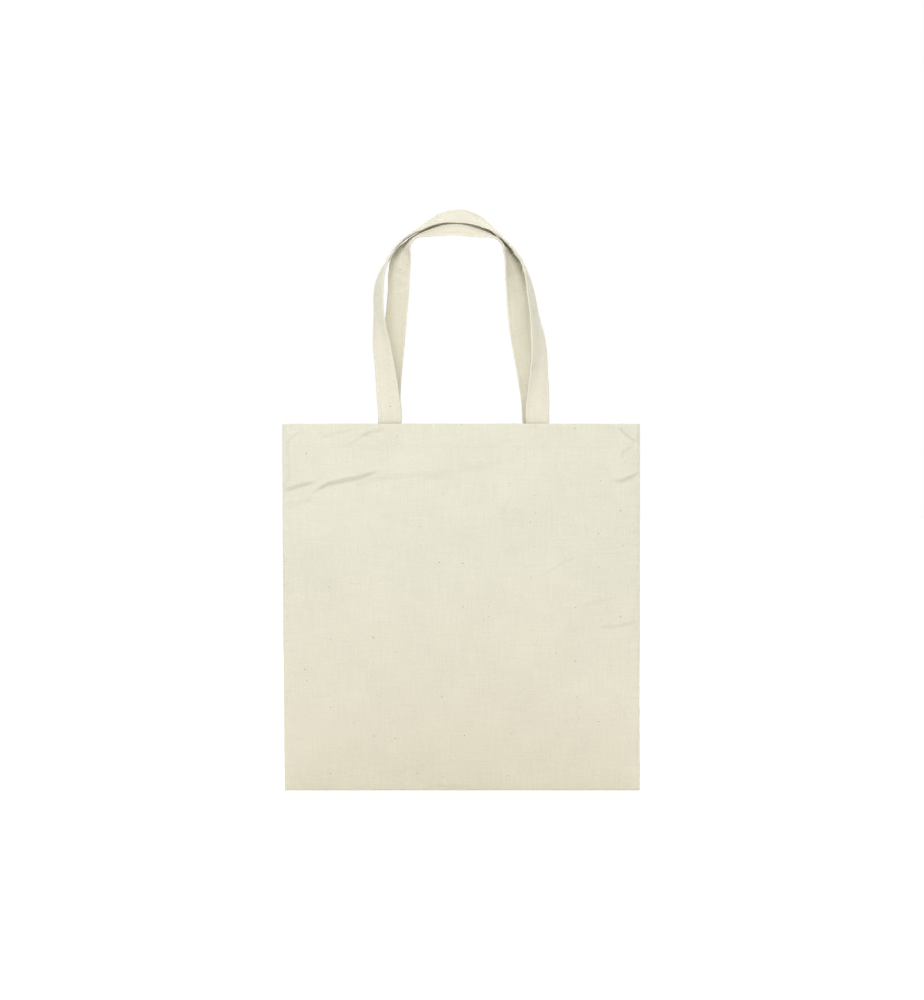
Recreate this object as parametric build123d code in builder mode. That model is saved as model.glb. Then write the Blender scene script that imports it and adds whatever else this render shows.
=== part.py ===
from build123d import *
import os
from math import cos, radians, sin

# A canvas tote bag, upright: two canvas walls sewn together down the sides and along the bottom,
# open at the top, with two long strap handles sewn inside its hems. Millimetres. +Z is up, the
# front faces -Y, and the origin is the middle of the bottom edge.

# Driving dimensions
bag_width = 380.0
bag_height = 390.0
canvas = 1.2                 # one wall of canvas
hem_depth = 28.0             # how far the rim is folded down inside
hem_layer = 1.0              # the folded-in layer of a hem
layer_gap = 0.1              # between two layers of cloth that are sewn together
seam_allowance = 9.0         # width of the cloth edges turned inside at a side seam
bottom_allowance = 8.0       # height of the cloth edges turned inside at the bottom
seam_half = 1.3              # from the middle plane to the inside of a wall, at its seams
seam_clear = 0.3             # between a seam's inner edges and the wall that opens
roundness = 6                # how flat the middle of a wall is, and how quickly its sides turn in
strap_width = 25.0
strap = 1.8                  # strap thickness, canvas folded twice
strap_end_length = 26.0      # the part of a strap that is sewn inside the hem
strap_middle_y = 11.4        # from the middle plane to the middle of a sewn strap end
rim_gap = 0.8                # where a handle folds over the rim, between its end and its loop
stitch_inset = 3.4           # rows of stitching from an edge
thread = 0.5                 # width of a row of thread
thread_proud = 0.25          # how far thread stands out of the cloth
box_stitch = 19.0            # side of the square that is sewn through a strap end

half_width = bag_width / 2
rim_z = bag_height
hem_z = bag_height - hem_depth
loop_z = rim_z + rim_gap
front, back = -1, 1          # sign of y on each side

# How far the middle of each wall bellies out at a few heights, from the bottom seam to the rim
belly_at = [
    (0.0, 0.0), (25.0, 4.5), (70.0, 9.5), (140.0, 14.0), (220.0, 16.0), (300.0, 15.4),
    (hem_z, 13.6), (rim_z, 13.0),
]

# The handles' middle lines, from the left foot over the crown to the right foot. Each station is
# (x, y, z, twist): twist is how far the strap has turned about its own line, from 0 where it lies
# flat against the bag to 90 where it is seen edge-on from the front.
front_handle_route = [
    (-75.5, -11.4, loop_z, 0), (-75.8, -11.4, 402, 4), (-77.9, -11.2, 419, 15),
    (-82.1, -9.8, 457, 36), (-86.0, -7.9, 488, 53), (-88.3, -6.7, 512, 62), (-88.4, -5.6, 533, 68),
    (-85.6, -4.8, 549, 77), (-78.8, -4.4, 564, 83), (-67.8, -4.0, 580, 84), (-53.8, -3.6, 592, 84),
    (-37.8, -2.8, 602, 79), (-22.4, -2.0, 609.4, 65), (-5.3, -1.6, 611.6, 59),
    (10.6, -2.0, 610.0, 63), (28.7, -2.8, 600.6, 79), (44.7, -3.6, 587, 84), (57.0, -4.0, 574, 84),
    (65.6, -4.4, 561, 83), (70.9, -4.8, 547, 78), (75.4, -5.7, 526, 70), (79.8, -7.2, 500, 63),
    (82.3, -8.1, 474, 51), (83.0, -10.2, 448, 40), (82.3, -11.2, 418, 18), (81.3, -11.4, 402, 4),
    (81.2, -11.4, loop_z, 0),
]
back_handle_route = [
    (-76.1, 11.4, loop_z, 0), (-76.2, 11.4, 402, 3), (-77.2, 11.2, 419, 14), (-74.7, 10.2, 444, 26),
    (-71.0, 8.8, 478, 30), (-67.9, 7.4, 508, 33), (-65.4, 6.2, 533, 36), (-62.6, 5.2, 560, 42),
    (-57.6, 4.8, 577, 58), (-48.4, 4.2, 587.6, 63), (-36.0, 3.0, 593.8, 61),
    (-6.4, 1.6, 598.0, 58),
    (25.0, 3.0, 594.0, 61), (37.6, 4.2, 587.2, 63), (47.4, 4.8, 575.5, 58), (54.8, 5.2, 557, 42),
    (60.3, 6.2, 530, 28), (63.3, 7.4, 499, 19), (67.1, 8.8, 474, 16), (72.9, 10.2, 442, 12),
    (77.0, 11.2, 416, 7), (78.1, 11.4, 402, 2), (78.2, 11.4, loop_z, 0),
]


def belly(z):
    """How far the middle of a wall stands out at height z."""
    for (low_z, low), (high_z, high) in zip(belly_at, belly_at[1:]):
        if z <= high_z:
            return low + (high - low) * (z - low_z) / (high_z - low_z)
    return belly_at[-1][1]


def wall_y(x, z):
    """From the bag's middle plane to the inside of its wall."""
    return seam_half + belly(z) * (1 - abs(x / half_width) ** roundness)


def save(piece, name):
    """Labels a finished piece and writes it as its own STEP file."""
    piece.label = name
    export_step(piece, f"parts/{name}.step")


def cloth_layer(name, side, heights, inner, thickness, reach):
    """One layer that follows a wall: inner is how far it stands off the inside of the wall."""
    stations = [reach * step / 7 for step in range(-7, 8)]
    with BuildPart() as layer:
        for z in heights:
            near = [(x, side * (wall_y(x, z) + inner)) for x in stations]
            far = [(x, y + side * thickness) for x, y in near]
            with BuildSketch(Plane.XY.offset(z)):
                with BuildLine():
                    Spline(*near)
                    Line(near[-1], far[-1])
                    Spline(*far[::-1])
                    Line(far[0], near[0])
                make_face()
        loft(ruled=True)
    save(layer.part, name)


def route_planes(route):
    """A plane across the strap at each station: its x runs across the strap, its y out of its face."""
    planes = []
    for i, (x, y, z, twist) in enumerate(route):
        before, after = route[max(i - 1, 0)], route[min(i + 1, len(route) - 1)]
        along = Vector(after[0] - before[0], after[1] - before[1], after[2] - before[2]).normalized()
        outward = Vector(-along.Z, 0, along.X).normalized()
        across = outward * cos(radians(twist)) + Vector(0, sin(radians(twist)), 0)
        planes.append(Plane(origin=(x, y, z), x_dir=across, z_dir=along))
    return planes


def strap_loop(name, route):
    """The free loop of a handle, a flat strap that twists as it goes over."""
    with BuildPart() as loop:
        for plane in route_planes(route):
            with BuildSketch(plane):
                Rectangle(strap_width, strap)
        loft(ruled=True)
    save(loop.part, name)


def strap_stitching(name, route, face):
    """The two rows of thread near a loop's edges, on one face of the strap."""
    with BuildPart() as rows:
        for row in (-1, 1):
            for plane in route_planes(route):
                with BuildSketch(plane):
                    with Locations((row * (strap_width / 2 - stitch_inset),
                                    face * (strap + thread_proud) / 2)):
                        Rectangle(thread, thread_proud)
            loft(ruled=True)
    save(rows.part, name)


def strap_end(name, side, x):
    """The end of a strap, flat inside the hem."""
    with BuildPart() as end:
        with BuildSketch(Plane.XY.offset(rim_z - strap_end_length)):
            with Locations((x, side * strap_middle_y)):
                Rectangle(strap_width, strap)
        extrude(amount=strap_end_length)
    save(end.part, name)


def end_stitching(name, side, x):
    """The square of thread and its two diagonals, outside the wall over a strap end."""
    face_y = side * (wall_y(x, (hem_z + rim_z) / 2) + canvas - thread_proud)
    middle_z = rim_z - strap_end_length / 2
    facing = Plane(origin=(x, face_y, middle_z), x_dir=(1, 0, 0), z_dir=(0, side, 0))
    with BuildPart() as square:
        with BuildSketch(facing):
            Rectangle(box_stitch, box_stitch)
            Rectangle(box_stitch - 2 * thread, box_stitch - 2 * thread, mode=Mode.SUBTRACT)
            for turn in (45, -45):
                with Locations(Location((0, 0), turn)):
                    Rectangle(box_stitch * 2 ** 0.5 - 2 * thread, thread)
        extrude(amount=2 * thread_proud)
    save(square.part, name)


def side_seam(name, side):
    """The two cloth edges that are turned inside and sewn at one side."""
    with BuildPart() as seam:
        with BuildSketch(Plane.XY.offset(bottom_allowance + layer_gap)):
            with Locations((side * (half_width - seam_allowance / 2), seam_clear / 2)):
                Rectangle(seam_allowance, 2 * seam_half - seam_clear)
        extrude(amount=rim_z - bottom_allowance - layer_gap)
    save(seam.part, name)


def side_overlock(name, side):
    """The thread that binds a side seam's raw edges."""
    with BuildPart() as binding:
        with BuildSketch(Plane.XY.offset(bottom_allowance + layer_gap)):
            with Locations((side * (half_width - seam_allowance - thread / 2), seam_clear / 2)):
                Rectangle(thread, 2 * seam_half - seam_clear)
        extrude(amount=hem_z - bottom_allowance - layer_gap)
    save(binding.part, name)


os.makedirs("parts", exist_ok=True)

wall_heights = [z for z, depth in belly_at]
hem_heights = [hem_z, rim_z]
hem_reach = half_width - seam_allowance - 1
stitch_z = hem_z + stitch_inset

for name, side in (("front", front), ("back", back)):
    cloth_layer(f"{name}_panel", side, wall_heights, 0, canvas, half_width)
    cloth_layer(f"{name}_hem", side, hem_heights, -layer_gap - hem_layer, hem_layer, hem_reach)
    cloth_layer(f"{name}_hem_stitching", side, [stitch_z, stitch_z + thread],
                canvas - thread_proud, 2 * thread_proud, hem_reach)

side_seam("left_side_seam", -1)
side_seam("right_side_seam", 1)
side_overlock("left_seam_overlock", -1)
side_overlock("right_seam_overlock", 1)

with BuildPart() as bottom_seam:
    with BuildSketch():
        with Locations((0, seam_clear / 2)):
            Rectangle(bag_width, 2 * seam_half - seam_clear)
    extrude(amount=bottom_allowance)
save(bottom_seam.part, "bottom_seam")

with BuildPart() as bottom_stitching:
    with BuildSketch(Plane.XY.offset(bottom_allowance)):
        with Locations((0, seam_clear / 2)):
            Rectangle(bag_width - 2 * seam_allowance - 2 * thread - 1, 2 * seam_half - seam_clear)
    extrude(amount=thread)
save(bottom_stitching.part, "bottom_seam_overlock")

for name, side, route in (("front_handle", front, front_handle_route),
                          ("back_handle", back, back_handle_route)):
    strap_loop(name, route)
    strap_stitching(f"{name}_stitching", route, -side)
    for foot, station in (("left", route[0]), ("right", route[-1])):
        strap_end(f"{name}_{foot}_end", side, station[0])
        end_stitching(f"{name}_{foot}_end_stitching", side, station[0])
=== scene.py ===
"""A canvas tote bag: its cloth, straps and stitching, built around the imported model.

Shapes are worked out in millimetres and become metres where a mesh is made.
"""
import math

import bpy
import numpy as np
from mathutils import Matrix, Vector


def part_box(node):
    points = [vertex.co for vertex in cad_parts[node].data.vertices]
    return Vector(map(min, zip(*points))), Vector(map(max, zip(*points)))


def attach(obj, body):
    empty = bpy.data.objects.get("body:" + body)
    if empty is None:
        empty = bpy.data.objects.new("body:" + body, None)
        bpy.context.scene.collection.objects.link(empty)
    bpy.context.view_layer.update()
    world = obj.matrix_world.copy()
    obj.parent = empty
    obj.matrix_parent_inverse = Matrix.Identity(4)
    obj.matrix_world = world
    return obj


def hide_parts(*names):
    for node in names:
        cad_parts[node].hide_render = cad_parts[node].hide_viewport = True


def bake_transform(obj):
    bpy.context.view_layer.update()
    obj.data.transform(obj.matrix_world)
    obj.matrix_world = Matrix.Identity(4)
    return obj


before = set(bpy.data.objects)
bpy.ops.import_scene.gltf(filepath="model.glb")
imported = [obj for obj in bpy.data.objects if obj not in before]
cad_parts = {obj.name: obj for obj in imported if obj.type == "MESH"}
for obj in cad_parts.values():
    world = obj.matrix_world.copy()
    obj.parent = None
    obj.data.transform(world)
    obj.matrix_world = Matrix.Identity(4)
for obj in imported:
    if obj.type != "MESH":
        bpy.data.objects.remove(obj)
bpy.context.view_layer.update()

bl_info = {
    "name": "Canvas tote bag",
    "version": (1, 0, 0),
    "blender": (4, 5, 0),
    "location": "3D View > Sidebar > Tote",
    "description": "Builds an unbleached cotton tote bag with two long strap handles",
    "category": "Add Mesh",
}

MM = 0.001
FRONT, BACK = -1, 1                       # sign of y on each side of the bag
SIDE_NAME = {FRONT: "front", BACK: "back"}

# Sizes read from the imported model, in millimetres
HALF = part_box("front_panel")[1].x / MM                  # half the bag's width
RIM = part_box("front_panel")[1].z / MM                   # height of the mouth
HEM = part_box("front_hem")[0].z / MM                     # where the folded-in rim ends
HEM_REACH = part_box("front_hem")[1].x / MM
STITCH_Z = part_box("front_hem_stitching")[0].z / MM
STRAP_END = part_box("front_handle_left_end")[0].z / MM   # where a sewn strap end stops
STRAP_WIDTH = (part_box("front_handle_left_end")[1].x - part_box("front_handle_left_end")[0].x) / MM
SEAM_WIDTH = (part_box("left_side_seam")[1].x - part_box("left_side_seam")[0].x) / MM
BOTTOM_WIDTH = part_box("bottom_seam")[1].z / MM
BOX_STITCH = (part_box("front_handle_left_end_stitching")[1].x
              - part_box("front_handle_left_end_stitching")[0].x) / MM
FEET = {
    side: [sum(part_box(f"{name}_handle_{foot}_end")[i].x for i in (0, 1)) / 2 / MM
           for foot in ("left", "right")]
    for side, name in SIDE_NAME.items()
}

# How the cloth lies, in millimetres
SEAM_HALF = 2.1          # half the bag's thickness beside a seam, to the middle of the cloth
SEAM_MEET = 0.45         # the same where the two walls meet
SIDE_ROLL = 4.5          # radius of the soft roll along each side
BOTTOM_ROLL = 2.5
ROUNDNESS = 2.8          # how flat the middle of a wall stays
FOLD = 1.0               # between the middles of the two layers of a hem
LEAN = 2.4               # how far the bottom left corner has drawn in
GRID = 1.6               # distance between mesh points on a wall
STITCH_PITCH = 3.4
STITCH_LENGTH = 0.88 * STITCH_PITCH
STITCH_INSET = 3.4       # rows of stitching from a strap's edge
OVERLOCK_PITCH, OVERLOCK_LENGTH, OVERLOCK_SLANT = 2.4, 2.6, 0.9
SEAM_PLY = 0.75          # thickness of each turned-in cloth edge
SEAM_TUCK = 1.2          # how much of it is hidden in the seam's roll
PLY_Y = 0.42             # from the bag's middle plane to the middle of each ply
STRAP_STEP = 2.4         # distance between mesh rows along a strap
STRAP_LOOSE = (34, 30)   # a strap starts to bend so far from its end, and is free so much further on

# What sewing and pressing do to the cloth: height and, for puckers, the length of one
SIDE_PUCKER, SIDE_PUCKER_LENGTH = 0.3, 13
FOOT_PUCKER, FOOT_PUCKER_LENGTH = 0.25, 15
HEM_PUCKER, HEM_PUCKER_LENGTH = 0.07, 9
HEM_RISE, STITCH_GROOVE, STRAP_END_RISE = 0.25, 0.3, 0.35
PRESS_FOLD_WIDTH = 2.2
FOLD_FADE = 40           # a fold fades in and out over this length at its ends
CROWN_FOLD_SOFTNESS = 0.8

# Folds and creases in each wall. Each is its line in (x, z), how far the cloth above it stands
# out, how far the cloth below it drops back, how far each reaches, and how soft the step is.
FRONT_CREASES = [
    ([(-158, 315), (-150, 322), (-142, 326.5), (-126, 330.5), (-112, 333), (-86, 340)],
     2.3, 1.6, 12, 16, 0.7),
    ([(-191, 319.5), (-178, 323), (-168, 326), (-154, 328.5)], 2.1, 1.5, 9, 8, 0.8),
    ([(-190, 309), (-176, 306), (-160, 309), (-150, 316)], 1.2, 1.0, 7, 9, 2.5),
    ([(-130, 322), (-92, 331), (-60, 335), (-30, 336), (-2, 342)], 1.3, 1.2, 14, 20, 3.0),
    ([(-20, 337), (10, 344), (50, 350), (84, 351)], 0.9, 0.8, 12, 18, 4.0),
    ([(-84, 321), (-52, 326), (-24, 334)], 0.7, 0.6, 9, 12, 2.5),
    ([(-150, 374), (-138, 379), (-124, 382), (-112, 383)], 1.2, 0.8, 6, 9, 1.2),
    ([(-125, 366), (-112, 372), (-99, 381)], 0.8, 0.6, 6, 9, 1.5),
    ([(-107, 376.5), (-96, 381.5), (-80, 384)], 1.3, 0.9, 6, 9, 0.9),
    ([(-188, 366), (-178, 378), (-166, 386)], 1.6, 1.0, 6, 8, 1.5),
    ([(166, 389), (172, 382), (180, 375), (190, 371)], 2.4, 1.6, 6, 8, 1.0),
    ([(168, 352), (174, 362), (184, 366)], 1.1, 0.9, 7, 9, 1.5),
    ([(160, 328.5), (172, 331), (182, 335), (191, 339)], 2.0, 1.4, 8, 9, 0.8),
    ([(146, 174.5), (160, 175), (174, 177), (191, 181)], 1.6, 1.0, 8, 9, 1.0),
    ([(122, 195), (136, 199), (150, 203), (168, 205)], 0.8, 0.6, 8, 10, 1.4),
    ([(82, 229), (96, 236), (108, 243), (124, 250)], 0.8, 0.6, 9, 12, 1.4),
    ([(41, 286), (45, 298), (49, 308), (54, 314)], 0.7, 0.5, 7, 9, 1.4),
    ([(150, 90), (158, 120), (160, 150)], 0.5, 0.4, 8, 10, 2.0),
    ([(-190, 196), (-160, 198), (-120, 196)], 0.5, 0.4, 9, 10, 1.5),
    ([(-38, 6), (-14, 4), (12, 6)], 0.6, 0.4, 5, 4, 1.0),
    ([(-185, 378), (-184, 352), (-184, 334), (-189, 321)], 1.7, 1.7, 6, 3, 0.8),
]
BACK_CREASES = [
    ([(-189, 250), (-165, 256), (-130, 259), (-104, 255)], 1.6, 1.1, 10, 14, 0.9),
    ([(120, 333), (146, 330), (170, 322), (188, 316)], 1.7, 1.2, 9, 13, 0.8),
    ([(-60, 352), (-30, 347), (4, 349), (40, 355)], 0.9, 0.8, 12, 16, 2.5),
    ([(60, 118), (86, 128), (112, 133)], 0.6, 0.4, 10, 12, 1.5),
    ([(-150, 60), (-126, 74), (-108, 92)], 0.8, 0.6, 9, 12, 1.5),
]
# Flat press folds left from packing: x, lowest z, highest z, height
PRESS_FOLDS = [(-96, 30, 330, 0.35), (153, -40, 62, 0.35), (20, 120, 250, 0.12)]

# The handles' middle lines, from the left foot over the crown to the right foot: x, y, z and how
# far the strap has twisted, from 0 where it lies flat to 90 where it is edge-on from the front.
FRONT_ROUTE = [
    (-75.5, -11.4, RIM + 0.8, 0), (-75.4, -11.4, 401.6, 4), (-77.5, -11.2, 418.5, 15),
    (-81.7, -9.8, 456.3, 36), (-85.6, -7.6, 487.1, 53), (-87.9, -5.8, 511.0, 62),
    (-88.0, -3.8, 531.9, 67), (-85.2, -1.4, 547.8, 75), (-78.6, 1.5, 563.8, 83),
    (-67.7, 4.4, 580.3, 85), (-53.8, 6.4, 592.2, 84), (-37.8, 7.6, 601.7, 77),
    (-22.3, 8.0, 609.2, 61), (-5.3, 8.6, 611.8, 51), (10.6, 8.0, 610.3, 56),
    (28.8, 7.6, 600.9, 75), (44.9, 6.4, 587.2, 84), (57.1, 4.2, 574.5, 85),
    (65.5, 1.6, 560.9, 83), (70.6, -0.9, 545.9, 78), (75.0, -3.5, 525.0, 70),
    (79.4, -6.2, 499.1, 63), (81.9, -8.1, 473.2, 51), (82.6, -10.2, 447.3, 40),
    (81.9, -11.2, 417.5, 18), (80.9, -11.4, 401.6, 4), (81.2, -11.4, RIM + 0.8, 0),
]
BACK_ROUTE = [
    (-76.1, 11.4, RIM + 0.8, 0), (-75.8, 11.4, 401.6, 3), (-76.8, 11.2, 418.5, 12),
    (-74.6, 10.2, 443.4, 22), (-71.3, 8.8, 477.2, 25), (-69.0, 6.8, 507.0, 23),
    (-66.8, 4.2, 531.9, 24), (-64.8, 1.0, 558.8, 25), (-61.0, -1.2, 571.6, 47),
    (-56.1, -3.2, 582.0, 71), (-49.0, -4.4, 589.0, 78), (-36.0, -4.4, 594.2, 68),
    (-6.3, -2.8, 599.6, 56), (23.2, -4.2, 594.5, 65), (35.0, -4.3, 589.8, 78),
    (42.3, -3.5, 584.2, 84), (46.9, -2.2, 577.5, 76), (51.1, -0.6, 568.6, 61),
    (55.6, 1.4, 555.6, 41), (59.7, 4.2, 528.9, 26), (62.5, 6.8, 498.1, 19),
    (66.5, 8.8, 473.2, 16), (72.6, 10.2, 441.4, 12), (76.6, 11.2, 415.5, 7),
    (77.7, 11.4, 401.6, 2), (78.2, 11.4, RIM + 0.8, 0),
]
ROUTES = {FRONT: FRONT_ROUTE, BACK: BACK_ROUTE}

# Creases across a strap: how far along it, slant across its width, depth and width
STRAP_CREASES = {
    FRONT: [(62, 0.5, 0.35, 3.0), (118, -0.4, 0.3, 3.5), (206, 0.3, 0.6, 4.0), (262, -0.8, 0.7, 3.0),
            (318, 0.8, 0.7, 3.0), (382, -0.3, 0.5, 4.0), (446, 0.6, 0.35, 3.5), (505, -0.4, 0.3, 3.0)],
    BACK: [(58, 0.4, 0.3, 3.0), (120, -0.5, 0.3, 3.0), (172, 0.25, 0.6, 2.0), (186, -0.3, 0.8, 1.8),
           (212, -0.7, 0.7, 2.2), (222, 0.4, 0.5, 2.2), (330, 0.7, 0.7, 2.2), (342, -0.4, 0.4, 2.4),
           (366, 0.2, 0.6, 2.0), (386, -0.3, 0.5, 2.0), (430, 0.5, 0.3, 3.0), (490, -0.4, 0.3, 3.0)],
}

# A soft fold along the back strap where it goes over the crown: it starts and ends so far along
# the strap, lies so far across it from its middle, and turns the part before it down by a slope.
CROWN_FOLD = {BACK: (222, 328, -2.0, 0.3)}


# ---------------------------------------------------------------- sizes and colours a user changes

class ToteSizes(bpy.types.PropertyGroup):
    """Sizes of the bag's cloth and thread."""

    cloth: bpy.props.FloatProperty(
        name="Canvas", description="Thickness of one layer of canvas",
        default=0.8 * MM, min=0.3 * MM, max=2 * MM, unit="LENGTH", precision=5)
    strap: bpy.props.FloatProperty(
        name="Strap", description="Thickness of a strap, canvas folded and sewn",
        default=1.9 * MM, min=1 * MM, max=4 * MM, unit="LENGTH", precision=5)
    belly: bpy.props.FloatProperty(
        name="Belly", description="How far the middle of each wall stands out",
        default=15 * MM, min=0, max=25 * MM, unit="LENGTH", precision=4)
    thread: bpy.props.FloatProperty(
        name="Thread", description="Width of the sewing thread",
        default=0.5 * MM, min=0.2 * MM, max=1 * MM, unit="LENGTH", precision=5)
    yarn: bpy.props.FloatProperty(
        name="Yarn spacing", description="Distance from one yarn of the weave to the next",
        default=0.8 * MM, min=0.3 * MM, max=3 * MM, unit="LENGTH", precision=5)


class ToteColours(bpy.types.PropertyGroup):
    """Colours of the bag, as sRGB hex."""

    upper: bpy.props.StringProperty(
        name="Canvas, upper", description="Natural cotton at the top of the bag", default="#D4D1C0")
    lower: bpy.props.StringProperty(
        name="Canvas, lower", description="Natural cotton at the bottom, a little warmer",
        default="#D9D3C0")
    strap: bpy.props.StringProperty(
        name="Strap canvas", description="Natural cotton of the straps", default="#D7D3C1")
    fleck: bpy.props.StringProperty(
        name="Seed fleck", description="Bits of cotton seed left in the yarn", default="#77664E")
    thread: bpy.props.StringProperty(
        name="Thread", description="Undyed sewing thread", default="#D9D5C2")


def linear(code):
    """An sRGB hex colour as linear red, green, blue and alpha."""
    channels = [int(code[i:i + 2], 16) / 255 for i in (1, 3, 5)]
    return [c / 12.92 if c <= 0.04045 else ((c + 0.055) / 1.055) ** 2.4 for c in channels] + [1]


# ---------------------------------------------------------------------------------- materials

def add(tree, kind, links=None, **settings):
    """Adds a node: settings are its properties, links give its inputs a value or an output."""
    node = tree.nodes.new(kind)
    for key, value in settings.items():
        setattr(node, key, value)
    for key, value in (links or {}).items():
        if isinstance(value, bpy.types.NodeSocket):
            tree.links.new(value, node.inputs[key])
        else:
            node.inputs[key].default_value = value
    return node


def new_material(name):
    """An empty material and its node tree, or None for the tree if the material is already made."""
    found = bpy.data.materials.get(name)
    if found:
        return found, None
    material = bpy.data.materials.new(name)
    material.use_nodes = True
    material.node_tree.nodes.clear()
    return material, material.node_tree


def finish_material(tree, colour, roughness, normal, sheen, specular):
    """The cloth shader. Sheen is the halo of loose fibres that softens the cloth at its edges."""
    shader = add(tree, "ShaderNodeBsdfPrincipled", {
        "Base Color": colour, "Roughness": roughness, "Normal": normal,
        "Sheen Weight": sheen, "Sheen Roughness": 0.5, "Specular IOR Level": specular, "IOR": 1.47})
    add(tree, "ShaderNodeOutputMaterial", {"Surface": shader.outputs[0]})


def cotton_canvas_plain_weave(context, name="unbleached_cotton_canvas_plain_weave", tone=None):
    """Unbleached cotton duck, woven over one and under one from uneven spun yarn: matt, creamy,
    with thick and thin yarns both ways and brown flecks of seed. tone is one colour all over."""
    material, tree = new_material(name)
    if tree is None:
        return material
    sizes, colours = context.scene.tote_sizes, context.scene.tote_colours
    cloth = add(tree, "ShaderNodeAttribute", attribute_name="cloth").outputs["Vector"]

    # Yarns wander a third of their spacing.
    wander = add(tree, "ShaderNodeTexNoise", {"Vector": cloth, "Scale": 110, "Detail": 2})
    wandered = add(tree, "ShaderNodeVectorMath", {
        0: wander.outputs["Color"], 1: (0.6 * sizes.yarn, 0.6 * sizes.yarn, 0), 2: cloth},
        operation="MULTIPLY_ADD").outputs[0]
    phase = add(tree, "ShaderNodeVectorMath", {0: wandered, "Scale": math.pi / sizes.yarn},
                operation="SCALE").outputs[0]
    wave = add(tree, "ShaderNodeVectorMath", {0: phase}, operation="SINE").outputs[0]
    swell = add(tree, "ShaderNodeVectorMath", {0: wave}, operation="ABSOLUTE").outputs[0]
    signed = add(tree, "ShaderNodeSeparateXYZ", {0: wave})
    round_yarn = add(tree, "ShaderNodeSeparateXYZ", {0: swell})
    crossing = add(tree, "ShaderNodeMath", {0: signed.outputs[0], 1: signed.outputs[1]},
                   operation="MULTIPLY").outputs[0]
    on_top = add(tree, "ShaderNodeMapRange", {
        "Value": crossing, "From Min": -0.2, "From Max": 0.2}, interpolation_type="SMOOTHSTEP")
    lengthwise = []
    for across, along in ((0, 1), (1, 0)):
        long_side = add(tree, "ShaderNodeMath", {0: round_yarn.outputs[along], 1: 0.35},
                        operation="POWER").outputs[0]
        lengthwise.append(add(tree, "ShaderNodeMath", {
            0: round_yarn.outputs[across], 1: long_side}, operation="MULTIPLY").outputs[0])
    weave = add(tree, "ShaderNodeMix", {
        "Factor": on_top.outputs[0], "A": lengthwise[1], "B": lengthwise[0]}).outputs[0]

    # Thick and thin yarns: streaks one or two yarns wide and some 30 mm long, both ways.
    streaks = []
    for scale in ((0.5 / sizes.yarn, 30, 1), (30, 0.5 / sizes.yarn, 1)):
        stretched = add(tree, "ShaderNodeMapping", {"Vector": cloth, "Scale": scale})
        streaks.append(add(tree, "ShaderNodeTexNoise", {
            "Vector": stretched.outputs[0], "Scale": 1, "Detail": 2}).outputs[0])
    yarns = add(tree, "ShaderNodeMath", {0: streaks[0], 1: streaks[1]}, operation="ADD").outputs[0]
    # Loose fibre and uneven spinning, drawn 2 mm across, which is as fine as it can be seen.
    grain = add(tree, "ShaderNodeTexNoise", {"Vector": cloth, "Scale": 520, "Detail": 3}).outputs[0]
    mottle = add(tree, "ShaderNodeTexNoise", {"Vector": cloth, "Scale": 16, "Detail": 4}).outputs[0]

    # Tone: a little warmer towards the bottom.
    place = add(tree, "ShaderNodeSeparateXYZ", {0: cloth})
    height = add(tree, "ShaderNodeMapRange", {
        "Value": place.outputs[1], "From Min": 0.0, "From Max": 0.3},
        interpolation_type="SMOOTHSTEP").outputs[0]
    colour = add(tree, "ShaderNodeMix", {
        "Factor": height, "A": linear(tone or colours.lower), "B": linear(tone or colours.upper)},
        data_type="RGBA").outputs[2]
    for pattern, low, high, reach in ((yarns, 0.75, 1.25, 0.024), (grain, 0.3, 0.7, 0.035),
                                      (mottle, 0.3, 0.7, 0.02)):
        shade = add(tree, "ShaderNodeMapRange", {
            "Value": pattern, "From Min": low, "From Max": high,
            "To Min": 1 - reach, "To Max": 1 + reach}).outputs[0]
        colour = add(tree, "ShaderNodeVectorMath", {0: colour, "Scale": shade},
                     operation="SCALE").outputs[0]

    # Seed flecks: a few large and dark, more that are small and pale. Cells are metres apart.
    frayed = add(tree, "ShaderNodeTexNoise", {"Vector": cloth, "Scale": 900, "Detail": 1})
    torn = add(tree, "ShaderNodeVectorMath", {
        0: frayed.outputs["Color"], 1: (0.9 * MM, 0.9 * MM, 0), 2: cloth},
        operation="MULTIPLY_ADD").outputs[0]
    for spacing, radius, chance, strength in ((24 * MM, 0.8 * MM, 0.36, 0.62),
                                              (11 * MM, 0.5 * MM, 0.4, 0.35)):
        cells = add(tree, "ShaderNodeTexVoronoi", {
            "Vector": torn, "Scale": 1 / spacing}, voronoi_dimensions="2D")
        chosen = add(tree, "ShaderNodeSeparateColor", {0: cells.outputs["Color"]})
        size = add(tree, "ShaderNodeMapRange", {
            "Value": chosen.outputs[0], "From Min": chance, "From Max": 1,
            "To Min": 0, "To Max": radius / spacing}).outputs[0]
        inside = add(tree, "ShaderNodeMath", {0: size, 1: cells.outputs["Distance"]},
                     operation="SUBTRACT").outputs[0]
        mask = add(tree, "ShaderNodeMapRange", {
            "Value": inside, "From Min": 0, "From Max": 0.3 * radius / spacing,
            "To Min": 0, "To Max": strength}).outputs[0]
        colour = add(tree, "ShaderNodeMix", {
            "Factor": mask, "A": colour, "B": linear(colours.fleck)}, data_type="RGBA").outputs[2]

    rough = add(tree, "ShaderNodeMapRange", {"Value": grain, "To Min": 0.86, "To Max": 0.98}).outputs[0]
    fuzzy = add(tree, "ShaderNodeBump", {"Height": grain, "Strength": 0.5, "Distance": 0.35 * MM})
    uneven = add(tree, "ShaderNodeBump", {
        "Height": yarns, "Strength": 0.6, "Distance": 0.3 * MM, "Normal": fuzzy.outputs[0]})
    woven = add(tree, "ShaderNodeBump", {
        "Height": weave, "Strength": 0.7, "Distance": 0.25 * MM, "Normal": uneven.outputs[0]})
    finish_material(tree, colour, rough, woven.outputs[0], 0.12, 0.25)
    return material


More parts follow.
